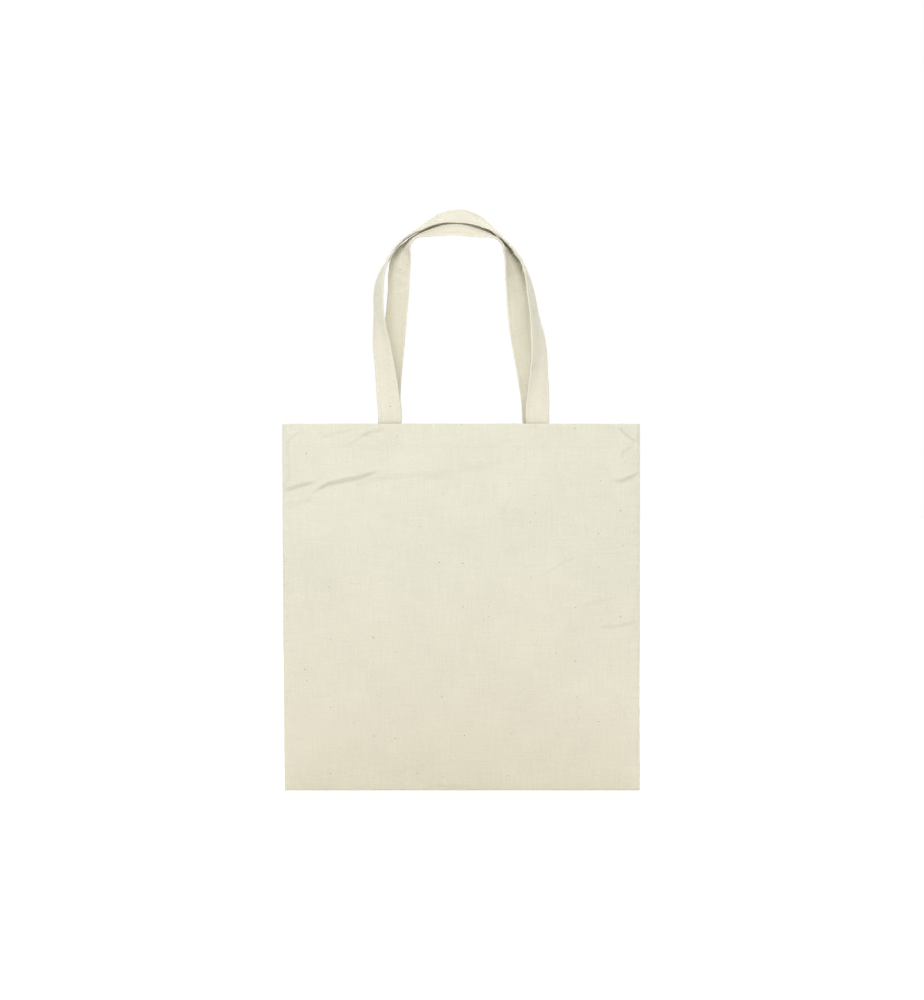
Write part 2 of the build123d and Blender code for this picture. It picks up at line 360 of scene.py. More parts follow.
def spun_cotton_thread(context):
    """Undyed spun cotton sewing thread, two plies twisted together: matt, with a fine slanting twist."""
    material, tree = new_material("undyed_spun_cotton_thread")
    if tree is None:
        return material
    colours = context.scene.tote_colours
    cloth = add(tree, "ShaderNodeAttribute", attribute_name="cloth").outputs["Vector"]
    twist = add(tree, "ShaderNodeTexWave", {
        "Vector": cloth, "Scale": 0.3 / (0.6 * MM), "Distortion": 1.0}, bands_direction="DIAGONAL")
    tone = add(tree, "ShaderNodeMapRange", {
        "Value": twist.outputs["Fac"], "To Min": 0.9, "To Max": 1.03}).outputs[0]
    colour = add(tree, "ShaderNodeVectorMath", {0: linear(colours.thread)[:3], "Scale": tone},
                 operation="SCALE").outputs[0]
    plies = add(tree, "ShaderNodeBump", {
        "Height": twist.outputs["Fac"], "Strength": 0.6, "Distance": 0.08 * MM})
    finish_material(tree, colour, 0.8, plies.outputs[0], 0.1, 0.35)
    return material


def opal_acrylic_light_table():
    """Matt opal acrylic, lit from below where the soft boxes don't reach: plain white all over."""
    material, tree = new_material("matt_opal_acrylic_light_table")
    if tree is None:
        return material
    place = add(tree, "ShaderNodeTexCoord").outputs["Object"]
    reach = add(tree, "ShaderNodeVectorMath", {0: place}, operation="LENGTH").outputs["Value"]
    glow = add(tree, "ShaderNodeMapRange", {
        "Value": reach, "From Min": 0.6, "From Max": 4.5, "To Min": 0.14, "To Max": 0.6}).outputs[0]
    shader = add(tree, "ShaderNodeBsdfPrincipled", {
        "Base Color": (0.9, 0.9, 0.9, 1), "Roughness": 1.0, "Specular IOR Level": 0.0,
        "Emission Color": (1, 1, 1, 1), "Emission Strength": glow})
    add(tree, "ShaderNodeOutputMaterial", {"Surface": shader.outputs[0]})
    return material


# ------------------------------------------------------------------------------- mesh helpers

def make_object(name, points, faces, material, cloth, normals=None):
    """A smooth mesh from points in millimetres. cloth is each point's place on the flat cloth."""
    mesh = bpy.data.meshes.new(name)
    mesh.from_pydata((points * MM).tolist(), [], faces)
    mesh.polygons.foreach_set("use_smooth", np.ones(len(mesh.polygons), bool))
    laid = mesh.attributes.new("cloth", "FLOAT_VECTOR", "POINT")
    laid.data.foreach_set("vector", (cloth * MM).astype(np.float32).ravel())
    mesh.materials.append(material)
    mesh.validate()
    if normals is not None:
        mesh.normals_split_custom_set_from_vertices(normals.tolist())
    obj = bpy.data.objects.new(name, mesh)
    bpy.context.scene.collection.objects.link(obj)
    return obj


def grid_faces(rows, columns, start=0, flip=False):
    """The quads of a grid of points, row by row."""
    i = np.arange(rows - 1)[:, None] * columns + np.arange(columns - 1)[None, :] + start
    quads = np.stack([i, i + 1, i + columns + 1, i + columns], -1).reshape(-1, 4)
    return (quads[:, ::-1] if flip else quads).tolist()


def border_faces(rows, columns, offset):
    """The narrow faces that join the edges of two equal grids, the second offset points later."""
    ring = list(range(columns))
    ring += [r * columns + columns - 1 for r in range(1, rows)]
    ring += [(rows - 1) * columns + c for c in range(columns - 2, -1, -1)]
    ring += [r * columns for r in range(rows - 2, 0, -1)]
    return [[b, a, a + offset, b + offset] for a, b in zip(ring, ring[1:] + ring[:1])]


def surface_normals(points, outward):
    """Unit normals of a grid of points, on the side that outward gives for its middle point."""
    down, across = np.gradient(points, axis=0), np.gradient(points, axis=1)
    normals = np.cross(across, down)
    normals /= np.maximum(np.linalg.norm(normals, axis=-1, keepdims=True), 1e-9)
    rows, columns = points.shape[:2]
    flipped = np.dot(normals[rows // 2, columns // 2], outward) < 0
    return (-normals if flipped else normals), flipped


def sheet_parts(points, normals, flipped, thickness, first=0):
    """Points, faces and normals of a layer of cloth, thickened both ways from its middle."""
    rows, columns = points.shape[:2]
    count = rows * columns
    outer = (points + normals * thickness / 2).reshape(-1, 3)
    inner = (points - normals * thickness / 2).reshape(-1, 3)
    faces = grid_faces(rows, columns, 0, flip=flipped)
    faces += grid_faces(rows, columns, count, flip=not flipped)
    edges = border_faces(rows, columns, count)
    faces += [face[::-1] for face in edges] if flipped else edges
    faces = [[i + first for i in face] for face in faces]
    flat_normals = normals.reshape(-1, 3)
    return np.vstack([outer, inner]), faces, np.vstack([flat_normals, -flat_normals])


def make_stitches(name, centres, along, outward, length, width, material):
    """A row of separate stitches, each a short thread that dips into the cloth at both ends."""
    stations = np.array([-0.5, -0.44, -0.25, 0.0, 0.25, 0.44, 0.5])
    thickness = np.array([0.12, 0.6, 0.95, 1.0, 0.95, 0.6, 0.12])
    sides = 8
    angle = np.arange(sides) * 2 * math.pi / sides
    centres, along, outward = (np.asarray(a, float).reshape(-1, 3) for a in (centres, along, outward))
    along = along / np.linalg.norm(along, axis=1, keepdims=True)
    sideways = np.cross(outward, along)
    sideways /= np.linalg.norm(sideways, axis=1, keepdims=True)
    up = np.cross(along, sideways)
    lift = width * (0.32 - 2.2 * stations ** 2)
    rings = []
    for station, thick, raised in zip(stations, thickness, lift):
        for turn in angle:
            rings.append(centres + along * station * length
                         + up * (raised + 0.5 * width * thick * math.sin(turn))
                         + sideways * 0.5 * width * thick * math.cos(turn))
    per = len(stations) * sides
    points = np.stack(rings, 1).reshape(-1, 3)
    one = []
    for ring in range(len(stations) - 1):
        for k in range(sides):
            a, b = ring * sides + k, ring * sides + (k + 1) % sides
            one.append([a, b, b + sides, a + sides])
    one.append(list(range(sides))[::-1])
    one.append([(len(stations) - 1) * sides + k for k in range(sides)])
    faces = [[i + n * per for i in face] for n in range(len(centres)) for face in one]
    cloth = np.tile(np.stack([
        np.tile(angle, len(stations)) * width / 2, np.repeat(stations, sides) * length,
        np.zeros(per)], 1), (len(centres), 1))
    return make_object(name, points, faces, material, cloth)


# ------------------------------------------------------------------------------ the bag's shape

def smooth_step(t):
    """0 to 1 with a gentle start and end."""
    t = np.clip(t, 0, 1)
    return t * t * (3 - 2 * t)


def random_waves(seed, count, shortest, longest, height):
    """Soft random undulation: each wave is its direction and number, phase and height."""
    random = np.random.default_rng(seed)
    angle = random.uniform(0, 2 * math.pi, count)
    number = 2 * math.pi / random.uniform(shortest, longest, count)
    phase = random.uniform(0, 2 * math.pi, count)
    return [(n * math.cos(a), n * math.sin(a), p, height / math.sqrt(count))
            for a, n, p in zip(angle, number, phase)]


def waves_at(waves, x, z):
    """The sum of the waves at each point."""
    return sum(h * np.sin(kx * x + kz * z + phase) for kx, kz, phase, h in waves)


WALL_WAVES = {
    FRONT: random_waves(11, 16, 70, 190, 1.1) + random_waves(12, 26, 22, 60, 0.26),
    BACK: random_waves(21, 16, 70, 190, 1.3) + random_waves(22, 26, 22, 60, 0.3),
}
STRAP_WAVES = {FRONT: random_waves(31, 9, 40, 110, 0.5), BACK: random_waves(32, 9, 40, 110, 0.5)}


def crease_at(crease, x, z):
    """How far one crease moves the cloth out at each point."""
    line, lip, hollow, above, below, soft = crease
    line = np.array(line, float)
    lengths = np.linalg.norm(np.diff(line, axis=0), axis=1)
    total = lengths.sum()
    nearest = np.full(x.shape, 1e9)
    side = np.zeros(x.shape)
    along = np.zeros(x.shape)
    walked = 0.0
    for (ax, az), (bx, bz), length in zip(line, line[1:], lengths):
        ux, uz = (bx - ax) / length, (bz - az) / length
        run = (x - ax) * ux + (z - az) * uz
        held = np.clip(run, 0, length)
        offset = (z - az) * ux - (x - ax) * uz
        distance = np.hypot(x - ax - held * ux, z - az - held * uz)
        closer = distance < nearest
        nearest = np.where(closer, distance, nearest)
        side = np.where(closer, np.sign(offset), side)
        along = np.where(closer, (walked + run) / total, along)
        walked += length
    signed = nearest * side
    upper = 0.5 + 0.5 * np.tanh(signed / soft)
    strength = smooth_step((along + 0.12) / 0.4) * smooth_step((1.12 - along) / 0.4)
    stands = lip * upper * np.exp(-np.maximum(signed, 0) / above)
    drops = hollow * (1 - upper) * np.exp(np.minimum(signed, 0) / below)
    return strength * (stands - drops)


def belly_at(z, belly):
    """How far the middle of a wall stands out at height z: none at the bottom, less at the mouth."""
    return belly * (1 - np.exp(-z / 75)) * (1 - 0.07 * smooth_step((z - 250) / 140))


def wall_depth(x, z, side, belly):
    """From the bag's middle plane to the middle of a wall's outer layer."""
    to_side = HALF - np.abs(x)
    edge = np.minimum(np.clip(to_side / SIDE_ROLL, 0, 1), np.clip(z / BOTTOM_ROLL, 0, 1))
    seam = SEAM_MEET + (SEAM_HALF - SEAM_MEET) * np.sqrt(np.maximum(0, 1 - (1 - edge) ** 2))
    lens = belly_at(z, belly) * (1 - np.abs(x / HALF) ** ROUNDNESS)
    inward = np.minimum(to_side, z)
    calm = smooth_step(inward / 26) * (0.3 + 0.7 * smooth_step((RIM - z) / 70))
    depth = seam + lens + calm * waves_at(WALL_WAVES[side], x, z)
    creases = FRONT_CREASES if side == FRONT else BACK_CREASES
    held = smooth_step(to_side / 3.5) * smooth_step(z / 3)
    depth = depth + held * sum(crease_at(crease, x, z) for crease in creases)
    # The seams draw the cloth into small puckers.
    pucker = np.sin(2 * math.pi * z / SIDE_PUCKER_LENGTH + 2.5 * np.sin(z / 31) + side)
    depth = depth + SIDE_PUCKER * pucker * np.exp(-np.abs(to_side - 6) / 6) * edge
    foot_pucker = np.sin(2 * math.pi * x / FOOT_PUCKER_LENGTH + 2 * np.sin(x / 37) + side)
    depth = depth + FOOT_PUCKER * foot_pucker * np.exp(-np.abs(z - 7) / 7) * edge
    for fold_x, low, high, height in PRESS_FOLDS:
        reach = smooth_step((z - low) / FOLD_FADE) * smooth_step((high - z) / FOLD_FADE)
        depth = depth + height * reach * np.exp(-((x - fold_x) / PRESS_FOLD_WIDTH) ** 2)
    # The hem is two layers, drawn down by its stitching.
    hem = smooth_step((z - HEM + 1) / 2)
    groove = np.exp(-((z - STITCH_Z) / 0.9) ** 2) * smooth_step((HEM_REACH - np.abs(x)) / 3)
    depth = depth + HEM_RISE * hem * edge - STITCH_GROOVE * groove
    hem_pucker = np.sin(2 * math.pi * x / HEM_PUCKER_LENGTH + 3 * np.sin(x / 23))
    depth = depth + HEM_PUCKER * hem_pucker * np.exp(-np.abs(z - STITCH_Z) / 4) * edge
    for foot in FEET[side]:
        over = smooth_step((STRAP_WIDTH / 2 + 2 - np.abs(x - foot)) / 3)
        over = over * smooth_step((z - STRAP_END + 2) / 3)
        depth = depth + STRAP_END_RISE * over
    return depth


def settle(points):
    """The bag's lower left corner draws in a little, as the real one does."""
    moved = points.copy()
    share = (HALF - points[..., 0]) / (2 * HALF)
    moved[..., 0] += LEAN * share * (1 - np.clip(points[..., 2] / RIM, 0, 1)) ** 1.4
    return moved


def across_stations():
    """x across a wall, from one side to the other, closer together in the rolled edges."""
    flat = np.linspace(0, HALF - SIDE_ROLL, round((HALF - SIDE_ROLL) / GRID) + 1)
    rolled = HALF - SIDE_ROLL + SIDE_ROLL * np.sin(np.linspace(0, math.pi / 2, 7))[1:]
    right = np.concatenate([flat, rolled])
    return np.concatenate([-right[:0:-1], right])


def upward_stations(cloth):
    """A wall's way from the bottom edge up, over the rim and down inside: z and how far inwards."""
    rolled = BOTTOM_ROLL * (1 - np.cos(np.linspace(0, math.pi / 2, 6)))[:-1]
    turn_z = RIM - cloth / 2 - FOLD / 2
    flat = np.linspace(BOTTOM_ROLL, turn_z, round((turn_z - BOTTOM_ROLL) / GRID) + 1)
    angle = np.linspace(0, math.pi, 8)[1:-1]
    down = np.linspace(turn_z, HEM, round((turn_z - HEM) / GRID) + 1)
    z = np.concatenate([rolled, flat, turn_z + FOLD / 2 * np.sin(angle), down])
    inward = np.concatenate([
        np.zeros(len(rolled) + len(flat)), FOLD / 2 * (1 - np.cos(angle)), np.full(len(down), FOLD)])
    return z, inward


def wall_grid(side, cloth, belly):
    """A wall's grid of points and each point's place on the flat cloth."""
    x = across_stations()
    z, inward = upward_stations(cloth)
    grid_x, grid_z = np.meshgrid(x, z)
    depth = wall_depth(grid_x, np.minimum(grid_z, RIM), side, belly) - inward[:, None]
    depth = np.maximum(depth, SEAM_MEET)
    points = settle(np.stack([grid_x, side * depth, grid_z + cloth / 2 * (grid_z < 0.01)], -1))
    run = np.concatenate([[0], np.cumsum(np.hypot(np.diff(z), np.diff(inward)))])
    laid = np.stack([side * grid_x + (600 if side == BACK else 0),
                     np.broadcast_to(run[:, None], grid_x.shape), np.zeros_like(grid_x)], -1)
    return points, laid


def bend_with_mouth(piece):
    """Bakes the placement of a piece of one half of the front wall into its mesh."""
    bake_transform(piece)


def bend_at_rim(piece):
    """Bakes the placement of a strap, or its stitching, into its mesh."""
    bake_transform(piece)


class TOTE_OT_canvas_walls(bpy.types.Operator):
    """The front and back walls, each one layer of canvas folded down inside at the rim"""

    bl_idname = "tote.canvas_walls"
    bl_label = "Canvas walls"

    def execute(self, context):
        sizes = context.scene.tote_sizes
        cloth, belly = sizes.cloth / MM, sizes.belly / MM
        material = cotton_canvas_plain_weave(context)
        for side in (FRONT, BACK):
            points, laid = wall_grid(side, cloth, belly)
            normals, flipped = surface_normals(points, (0, side, 0))
            middle = points.shape[1] // 2
            # The front is two halves that share their middle line.
            cuts = {FRONT: {"front_canvas_left": slice(0, middle + 1),
                            "front_canvas_right": slice(middle, None)},
                    BACK: {"back_canvas": slice(None)}}[side]
            for name, cut in cuts.items():
                p, f, n = sheet_parts(points[:, cut], normals[:, cut], flipped, cloth)
                both = np.vstack([laid[:, cut].reshape(-1, 3)] * 2)
                wall = make_object(name, p, f, material, both, n)
                if side == BACK:
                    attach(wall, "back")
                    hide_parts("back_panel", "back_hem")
                else:
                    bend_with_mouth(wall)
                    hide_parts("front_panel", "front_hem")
        return {"FINISHED"}


def sew_plies(name, grids, flats, material):
    """The two plies of a turned-in edge as one mesh, from each ply's grid and its flat places."""
    points, faces, normals = [], [], []
    for ply, grid in zip((-1, 1), grids):
        outward, flipped = surface_normals(grid, (0, ply, 0))
        p, f, n = sheet_parts(grid, outward, flipped, SEAM_PLY, sum(len(q) for q in points))
        points.append(p)
        faces += f
        normals.append(n)
    laid = [np.vstack([flat.reshape(-1, 3)] * 2) for flat in flats]
    return make_object(name, np.vstack(points), faces, material, np.vstack(laid), np.vstack(normals))


def laid_flat(grid, shift_x=0, shift_z=0):
    """Where a grid's points lie on the flat cloth, shifted so that plies don't share their yarns."""
    return np.stack([grid[..., 0] + shift_x, grid[..., 2] + shift_z, np.zeros(grid.shape[:2])], -1)


def bind_edge(name, centres, edge, outward, width, material):
    """The overlock thread over a raw edge: it slants one way and then the other along it."""
    across, edge = np.array((0, 2.0, 0)), np.array(edge)
    along = [across + edge * OVERLOCK_SLANT * (1 if i % 2 else -1) for i in range(len(centres))]
    return make_stitches(name, settle(np.array(centres, float)), along,
                         np.tile(outward, (len(centres), 1)), OVERLOCK_LENGTH, width, material)


def side_ply(side, ply):
    """Points across one ply of a side seam, which lies beside the bag's middle plane."""
    x = np.linspace(HALF - SEAM_TUCK, HALF - SEAM_WIDTH, 6)
    z = np.linspace(BOTTOM_WIDTH + 1, RIM - 4, 120)
    grid_x, grid_z = np.meshgrid(x, z)
    loose = (HALF - grid_x) / SEAM_WIDTH
    y = ply * (PLY_Y + 0.25 * loose) + 0.2 * loose * np.sin(grid_z / 17 + ply + side)
    return settle(np.stack([side * grid_x, y, grid_z], -1))


def bottom_ply(ply):
    """Points across one ply of the bottom seam, before the corner draws in."""
    x = np.linspace(-HALF + SEAM_WIDTH, HALF - SEAM_WIDTH, 120)
    z = np.linspace(SEAM_TUCK, BOTTOM_WIDTH, 6)
    grid_x, grid_z = np.meshgrid(x, z)
    loose = grid_z / BOTTOM_WIDTH
    y = ply * (PLY_Y + 0.2 * loose) + 0.15 * loose * np.sin(grid_x / 19 + ply)
    return np.stack([grid_x, y, grid_z], -1)


class TOTE_OT_seams(bpy.types.Operator):
    """The cloth edges turned inside at the sides and along the bottom, and the thread that binds them"""

    bl_idname = "tote.seams"
    bl_label = "Seams"

    def execute(self, context):
        canvas = cotton_canvas_plain_weave(context)
        thread = spun_cotton_thread(context)
        width = context.scene.tote_sizes.thread / MM
        for side, name in ((-1, "left"), (1, "right")):
            grids = [side_ply(side, ply) for ply in (-1, 1)]
            flats = [laid_flat(grid, shift_x=900 * ply) for ply, grid in zip((-1, 1), grids)]
            seam = sew_plies(f"{name}_seam_edges", grids, flats, canvas)
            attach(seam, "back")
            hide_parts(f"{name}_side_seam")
            heights = np.arange(BOTTOM_WIDTH + 3, RIM - 6, OVERLOCK_PITCH)
            centres = [(side * (HALF - SEAM_WIDTH), 0.3 * math.sin(z / 17 + side), z) for z in heights]
            binding = bind_edge(f"{name}_seam_binding", centres, (0, 0, 1), (-side, 0, 0), width, thread)
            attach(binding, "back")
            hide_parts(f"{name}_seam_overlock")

        grids = [bottom_ply(ply) for ply in (-1, 1)]
        flats = [laid_flat(grid, shift_z=1200 * ply) for ply, grid in zip((-1, 1), grids)]
        bottom = sew_plies("bottom_seam_edges", [settle(grid) for grid in grids], flats, canvas)
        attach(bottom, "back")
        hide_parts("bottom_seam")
        places = np.arange(-HALF + SEAM_WIDTH + 2, HALF - SEAM_WIDTH - 2, OVERLOCK_PITCH)
        centres = [(x, 0.2 * math.sin(x / 19), BOTTOM_WIDTH) for x in places]
        binding = bind_edge("bottom_seam_binding", centres, (1, 0, 0), (0, 0, 1), width, thread)
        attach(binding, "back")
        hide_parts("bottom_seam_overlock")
        return {"FINISHED"}


def stitches_on_wall(name, x, z, along, side, lift, sizes, material):
    """A row of stitches at (x, z) on a wall. lift is where they lie, out from the cloth's middle."""
    belly = sizes.belly / MM
    depth = wall_depth(x, z, side, belly)
    slope_x = wall_depth(x + 0.5, z, side, belly) - wall_depth(x - 0.5, z, side, belly)
    slope_z = wall_depth(x, z + 0.5, side, belly) - wall_depth(x, z - 0.5, side, belly)
    facing = 1 if lift > 0 else -1
    outward = facing * np.stack([-slope_x, np.full_like(x, side), -slope_z], -1)
    centres = settle(np.stack([x, side * (depth + lift), z], -1))
    run = np.asarray(along, float) * np.ones((len(x), 1))
    run[:, 1] = side * (slope_x * run[:, 0] + slope_z * run[:, 2])
    return make_stitches(name, centres, run, outward, STITCH_LENGTH, sizes.thread / MM, material)


class TOTE_OT_hem_stitching(bpy.types.Operator):
    """The row of lockstitch that holds each hem down, seen outside and inside"""

    bl_idname = "tote.hem_stitching"
    bl_label = "Hem stitching"

    def execute(self, context):
        sizes = context.scene.tote_sizes
        cloth = sizes.cloth / MM
        material = spun_cotton_thread(context)
        x = np.arange(-HEM_REACH + 2, HEM_REACH - 1, STITCH_PITCH)
        for side in (FRONT, BACK):
            name = f"{SIDE_NAME[side]}_hem_stitches"
            halves = {f"{name}_left": x[x < 0], f"{name}_right": x[x >= 0]}
            stretches = {name: x} if side == BACK else halves
            for stretch, at in stretches.items():
                for place, lift in (("", cloth / 2), ("_inside", -FOLD - cloth / 2)):
                    row = stitches_on_wall(stretch + place, at, np.full_like(at, STITCH_Z), (1, 0, 0),
                                           side, lift, sizes, material)
                    if side == BACK:
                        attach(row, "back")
                    else:
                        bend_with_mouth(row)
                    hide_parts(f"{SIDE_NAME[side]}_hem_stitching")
        return {"FINISHED"}


class TOTE_OT_strap_end_stitching(bpy.types.Operator):
    """The square and two diagonals that are sewn through each strap end"""

    bl_idname = "tote.strap_end_stitching"
    bl_label = "Strap end stitching"

    def execute(self, context):
        sizes = context.scene.tote_sizes
        material = spun_cotton_thread(context)
        half = BOX_STITCH / 2
        middle_z = (STRAP_END + RIM) / 2
        corners = [(-half, -half), (half, -half), (half, half), (-half, half)]
        lines = list(zip(corners, corners[1:] + corners[:1])) + [
            (corners[0], corners[2]), (corners[1], corners[3])]
        for side in (FRONT, BACK):
            for foot_name, foot in zip(("left", "right"), FEET[side]):
                node = f"{SIDE_NAME[side]}_handle_{foot_name}_end_stitching"
                x, z, along = [], [], []
                for (ax, az), (bx, bz) in lines:
                    length = math.hypot(bx - ax, bz - az)
                    count = round(length / STITCH_PITCH)
                    for i in range(count):
                        t = (i + 0.5) / count
                        x.append(foot + ax + (bx - ax) * t)
                        z.append(middle_z + az + (bz - az) * t)
                        along.append(((bx - ax) / length, 0, (bz - az) / length))
                box = stitches_on_wall(f"{SIDE_NAME[side]}_strap_{foot_name}_box_stitches", np.array(x),
                                       np.array(z), along, side, sizes.cloth / MM / 2, sizes, material)
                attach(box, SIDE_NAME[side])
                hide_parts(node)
        return {"FINISHED"}


# ------------------------------------------------------------------------------- the handles

def strap_line(side):
    """The strap's middle line every few millimetres, with its directions across and out of its face."""
    route = np.array(ROUTES[side], float)
    left, right = route[0].copy(), route[-1].copy()
    left[2] = right[2] = STRAP_END
    route = np.vstack([left, route, right])
    steps = np.concatenate([[0], np.cumsum(np.linalg.norm(np.diff(route[:, :3], axis=0), axis=1))])
    ends = np.vstack([2 * route[0] - route[1], route, 2 * route[-1] - route[-2]])
    at = np.linspace(0, steps[-1], round(steps[-1] / STRAP_STEP) + 1)
    i = np.clip(np.searchsorted(steps, at, side="right") - 1, 0, len(steps) - 2)
    t = ((at - steps[i]) / (steps[i + 1] - steps[i]))[:, None]
    p0, p1, p2, p3 = ends[i], ends[i + 1], ends[i + 2], ends[i + 3]
    # A smooth cubic through the stations, with slopes weighed by their distances
    gap = (steps[i + 1] - steps[i])[:, None]
    before = np.where(i == 0, gap[:, 0], steps[i] - steps[np.maximum(i - 1, 0)])[:, None]
    last = len(steps) - 1
    after = np.where(i + 2 > last, gap[:, 0], steps[np.minimum(i + 2, last)] - steps[i + 1])[:, None]
    slope1 = (p2 - p0) / (gap + before) * gap
    slope2 = (p3 - p1) / (gap + after) * gap
    line = ((2 * t ** 3 - 3 * t ** 2 + 1) * p1 + (t ** 3 - 2 * t ** 2 + t) * slope1
            + (3 * t ** 2 - 2 * t ** 3) * p2 + (t ** 3 - t ** 2) * slope2)
    middle, twist = line[:, :3], np.radians(line[:, 3])
    along = np.gradient(middle, axis=0)
    along /= np.linalg.norm(along, axis=1, keepdims=True)
    outward = np.stack([-along[:, 2], np.zeros(len(along)), along[:, 0]], 1)
    outward /= np.linalg.norm(outward, axis=1, keepdims=True)
    across = outward * np.cos(twist)[:, None]
    across[:, 1] += np.sin(twist)
    across -= along * (across * along).sum(1, keepdims=True)
    across /= np.linalg.norm(across, axis=1, keepdims=True)
    face = np.cross(along, across)
    return at, middle, along, across, face


def strap_point(side, strap, s, u, height):
    """A point on a strap: s along it, u across it, and height out of its face, with its directions."""
    at, middle, along, across, face = strap
    pick = [np.stack([np.interp(s, at, column) for column in values.T], -1)
            for values in (middle, along, across, face)]
    bend = waves_at(STRAP_WAVES[side], s, 3 * u)
    held, freeing = STRAP_LOOSE
    loose = smooth_step((s - held) / freeing) * smooth_step((at[-1] - held - s) / freeing)
    cup = 0.5 * (u / (STRAP_WIDTH / 2)) ** 2 - 0.2
    for place, slant, depth, width in STRAP_CREASES[side]:
        bend = bend - depth * np.exp(-((s + slant * u - place) / width) ** 2)
    shift = loose * (bend + cup)
    if side in CROWN_FOLD:
        start, end, line, slope = CROWN_FOLD[side]
        reach = smooth_step((s - start) / FOLD_FADE) * smooth_step((end - s) / FOLD_FADE)
        turned = CROWN_FOLD_SOFTNESS * np.log1p(np.exp((line - u) / CROWN_FOLD_SOFTNESS))
        shift = shift - slope * reach * turned
    return pick[0] + pick[2] * u[..., None] + pick[3] * (height + shift)[..., None], pick[1], pick[3]


class TOTE_OT_handles(bpy.types.Operator):
    """The two handles, each one strap of folded canvas from one hem over to the other foot"""

    bl_idname = "tote.handles"
    bl_label = "Handles"

    def execute(self, context):
        sizes = context.scene.tote_sizes
        half, thick = STRAP_WIDTH / 2, sizes.strap / MM / 2
        material = cotton_canvas_plain_weave(context, "folded_cotton_canvas_strap",
                                             context.scene.tote_colours.strap)
        # Across the strap: puffed edges, a groove under each row of stitching and a flat middle
        groove = half - STITCH_INSET
        u = np.array([-12.5, -12.35, -11.9, -11.2, -10.3, -9.6, -9.1, -8.6, -7.6, -5, -2.5, 0])
        u = np.concatenate([u, -u[-2::-1]]) * half / 12.5
        plump = np.sqrt(np.maximum(0, 1 - ((np.abs(u) - (half - 1.3)) / 1.3).clip(0, 1) ** 2))
        height = thick * (plump * (1 + 0.06 * np.exp(-((np.abs(u) - half + 1.6) / 1.2) ** 2))
                          - 0.32 * np.exp(-((np.abs(u) - groove) / 0.55) ** 2))
        loop_u = np.concatenate([u, u[-2:0:-1]])
        loop_h = np.concatenate([height, -height[-2:0:-1]])
        for side in (FRONT, BACK):
            name = SIDE_NAME[side]
            strap = strap_line(side)
            at = strap[0]
            s, across = np.meshgrid(at, loop_u, indexing="ij")
            heights = np.broadcast_to(loop_h, s.shape)
            points = strap_point(side, strap, s, across, heights)[0]
            rows, columns = s.shape
            faces = []
            for r in range(rows - 1):
                for c in range(columns):
                    d = (c + 1) % columns
                    faces.append([r * columns + c, (r + 1) * columns + c,
                                  (r + 1) * columns + d, r * columns + d])
            faces.append(list(range(columns)))
            faces.append([(rows - 1) * columns + c for c in range(columns)][::-1])
            wrap = np.concatenate([u, 30 - u[-2:0:-1]])
            laid = np.stack([np.broadcast_to(wrap, s.shape) + 1500 + 300 * side, s + 40,
                             np.zeros_like(s)], -1)
            handle = make_object(f"{name}_handle_strap", points.reshape(-1, 3), faces, material,
                                 laid.reshape(-1, 3))
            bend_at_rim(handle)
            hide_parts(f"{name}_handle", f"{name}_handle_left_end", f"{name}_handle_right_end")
        return {"FINISHED"}


class TOTE_OT_handle_stitching(bpy.types.Operator):
    """The two rows of lockstitch along each handle, seen on both faces"""

    bl_idname = "tote.handle_stitching"
    bl_label = "Handle stitching"

    def execute(self, context):
        sizes = context.scene.tote_sizes
        material = spun_cotton_thread(context)
        thick = sizes.strap / MM / 2
        groove = STRAP_WIDTH / 2 - STITCH_INSET
        for side in (FRONT, BACK):
            name = SIDE_NAME[side]
            strap = strap_line(side)
            end = strap[0][-1]
            places = np.arange(26, end - 25, STITCH_PITCH)
            centres, alongs, outs = [], [], []
            for u in (-groove, groove):
                for facing in (-1, 1):
                    shifted = places + (0.5 * STITCH_PITCH if facing > 0 else 0)
                    point, along, face = strap_point(
                        side, strap, shifted, np.full_like(shifted, u),
                        np.full_like(shifted, facing * thick * 0.72))
                    centres.append(point)
                    alongs.append(along)
                    outs.append(face * facing)
            rows = make_stitches(f"{name}_handle_edge_stitches", np.vstack(centres), np.vstack(alongs),
                                 np.vstack(outs), STITCH_LENGTH, sizes.thread / MM, material)
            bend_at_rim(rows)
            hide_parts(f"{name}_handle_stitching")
        return {"FINISHED"}


# ------------------------------------------------------------------------------------ the stage

def soft_light(name, place, aim, size, power):
    """A square soft box that points at aim."""
    lamp = bpy.data.lights.new(name, "AREA")
    lamp.size = size
    lamp.energy = power
    obj = bpy.data.objects.new(name, lamp)
    obj.location = place
    direction = Vector(aim) - Vector(place)
    obj.rotation_euler = direction.to_track_quat("-Z", "Y").to_euler()
    bpy.context.scene.collection.objects.link(obj)


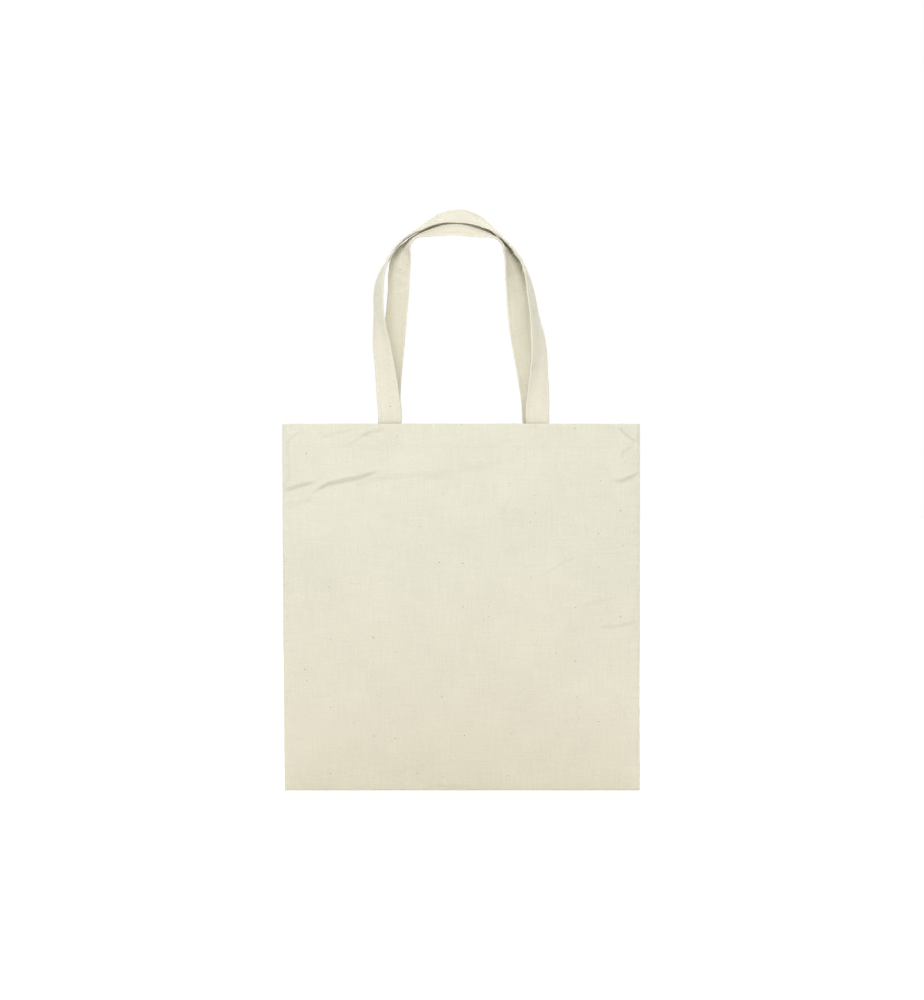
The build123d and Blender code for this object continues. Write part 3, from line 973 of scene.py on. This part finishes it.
class TOTE_OT_stage(bpy.types.Operator):
    """A lit white floor, soft boxes before and behind, and the camera straight in front"""

    bl_idname = "tote.stage"
    bl_label = "Stage"

    def execute(self, context):
        scene = context.scene
        radius, rings, spokes = 40.0, 12, 96
        mesh = bpy.data.meshes.new("floor")
        points = [(0, 0, 0)] + [
            (radius * (r / rings) ** 2 * math.cos(2 * math.pi * k / spokes),
             radius * (r / rings) ** 2 * math.sin(2 * math.pi * k / spokes), 0)
            for r in range(1, rings + 1) for k in range(spokes)]
        faces = [(0, 1 + k, 1 + (k + 1) % spokes) for k in range(spokes)]
        for r in range(rings - 1):
            first, second = 1 + r * spokes, 1 + (r + 1) * spokes
            faces += [(first + k, second + k, second + (k + 1) % spokes, first + (k + 1) % spokes)
                      for k in range(spokes)]
        mesh.from_pydata(points, [], faces)
        mesh.materials.append(opal_acrylic_light_table())
        floor = bpy.data.objects.new("floor", mesh)
        scene.collection.objects.link(floor)

        world = bpy.data.worlds.new("white_surround")
        world.use_nodes = True
        tree = world.node_tree
        tree.nodes.clear()
        # White all round, and darker overhead, where a studio's ceiling is.
        toward = add(tree, "ShaderNodeTexCoord").outputs["Generated"]
        up = add(tree, "ShaderNodeSeparateXYZ", {0: toward}).outputs[2]
        strength = add(tree, "ShaderNodeMapRange", {
            "Value": up, "From Min": 0.25, "From Max": 0.6, "To Min": 1.0, "To Max": 0.35},
            interpolation_type="SMOOTHSTEP").outputs[0]
        white = add(tree, "ShaderNodeBackground", {"Color": (1, 1, 1, 1), "Strength": strength})
        add(tree, "ShaderNodeOutputWorld", {"Surface": white.outputs[0]})
        scene.world = world

        # A soft box well above eye level, so that folds in the cloth show, and another behind.
        middle = (0, 0, 0.25)
        soft_light("front_soft_box", (-0.25, -1.6, 2.25), middle, 1.3, 42)
        soft_light("rear_soft_box", (0.25, 1.6, 2.25), middle, 1.3, 42)

        # One frame height is 1064 mm of the bag's plane, seen from 3 m.
        frame_height, distance = 1.0644, 3.0
        lens = bpy.data.cameras.new("camera")
        lens.sensor_width = 36
        lens.lens = lens.sensor_width * distance / frame_height
        camera = bpy.data.objects.new("camera", lens)
        camera.location = (1.0 * MM, -distance - SEAM_HALF * MM, 309.0 * MM)
        camera.rotation_euler = (math.pi / 2, 0, 0)
        scene.collection.objects.link(camera)
        scene.camera = camera
        scene.view_settings.view_transform = "Standard"
        return {"FINISHED"}


# --------------------------------------------------------------------------------- the add-on

STEPS = (TOTE_OT_canvas_walls, TOTE_OT_seams, TOTE_OT_hem_stitching, TOTE_OT_handles,
         TOTE_OT_handle_stitching, TOTE_OT_strap_end_stitching, TOTE_OT_stage)


class TOTE_PT_panel(bpy.types.Panel):
    """The bag's sizes, colours and pieces"""

    bl_idname = "TOTE_PT_panel"
    bl_label = "Canvas tote bag"
    bl_space_type = "VIEW_3D"
    bl_region_type = "UI"
    bl_category = "Tote"

    def draw(self, context):
        for group in (context.scene.tote_sizes, context.scene.tote_colours):
            for name in group.__annotations__:
                self.layout.prop(group, name)
        for step in STEPS:
            self.layout.operator(step.bl_idname)


CLASSES = (ToteSizes, ToteColours, *STEPS, TOTE_PT_panel)


def register():
    for item in CLASSES:
        bpy.utils.register_class(item)
    bpy.types.Scene.tote_sizes = bpy.props.PointerProperty(type=ToteSizes)
    bpy.types.Scene.tote_colours = bpy.props.PointerProperty(type=ToteColours)


def unregister():
    del bpy.types.Scene.tote_colours
    del bpy.types.Scene.tote_sizes
    for item in reversed(CLASSES):
        bpy.utils.unregister_class(item)


def main():
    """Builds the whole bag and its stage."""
    register()
    for step in STEPS:
        group, name = step.bl_idname.split(".")
        getattr(getattr(bpy.ops, group), name)()


if __name__ == "__main__":
    main()
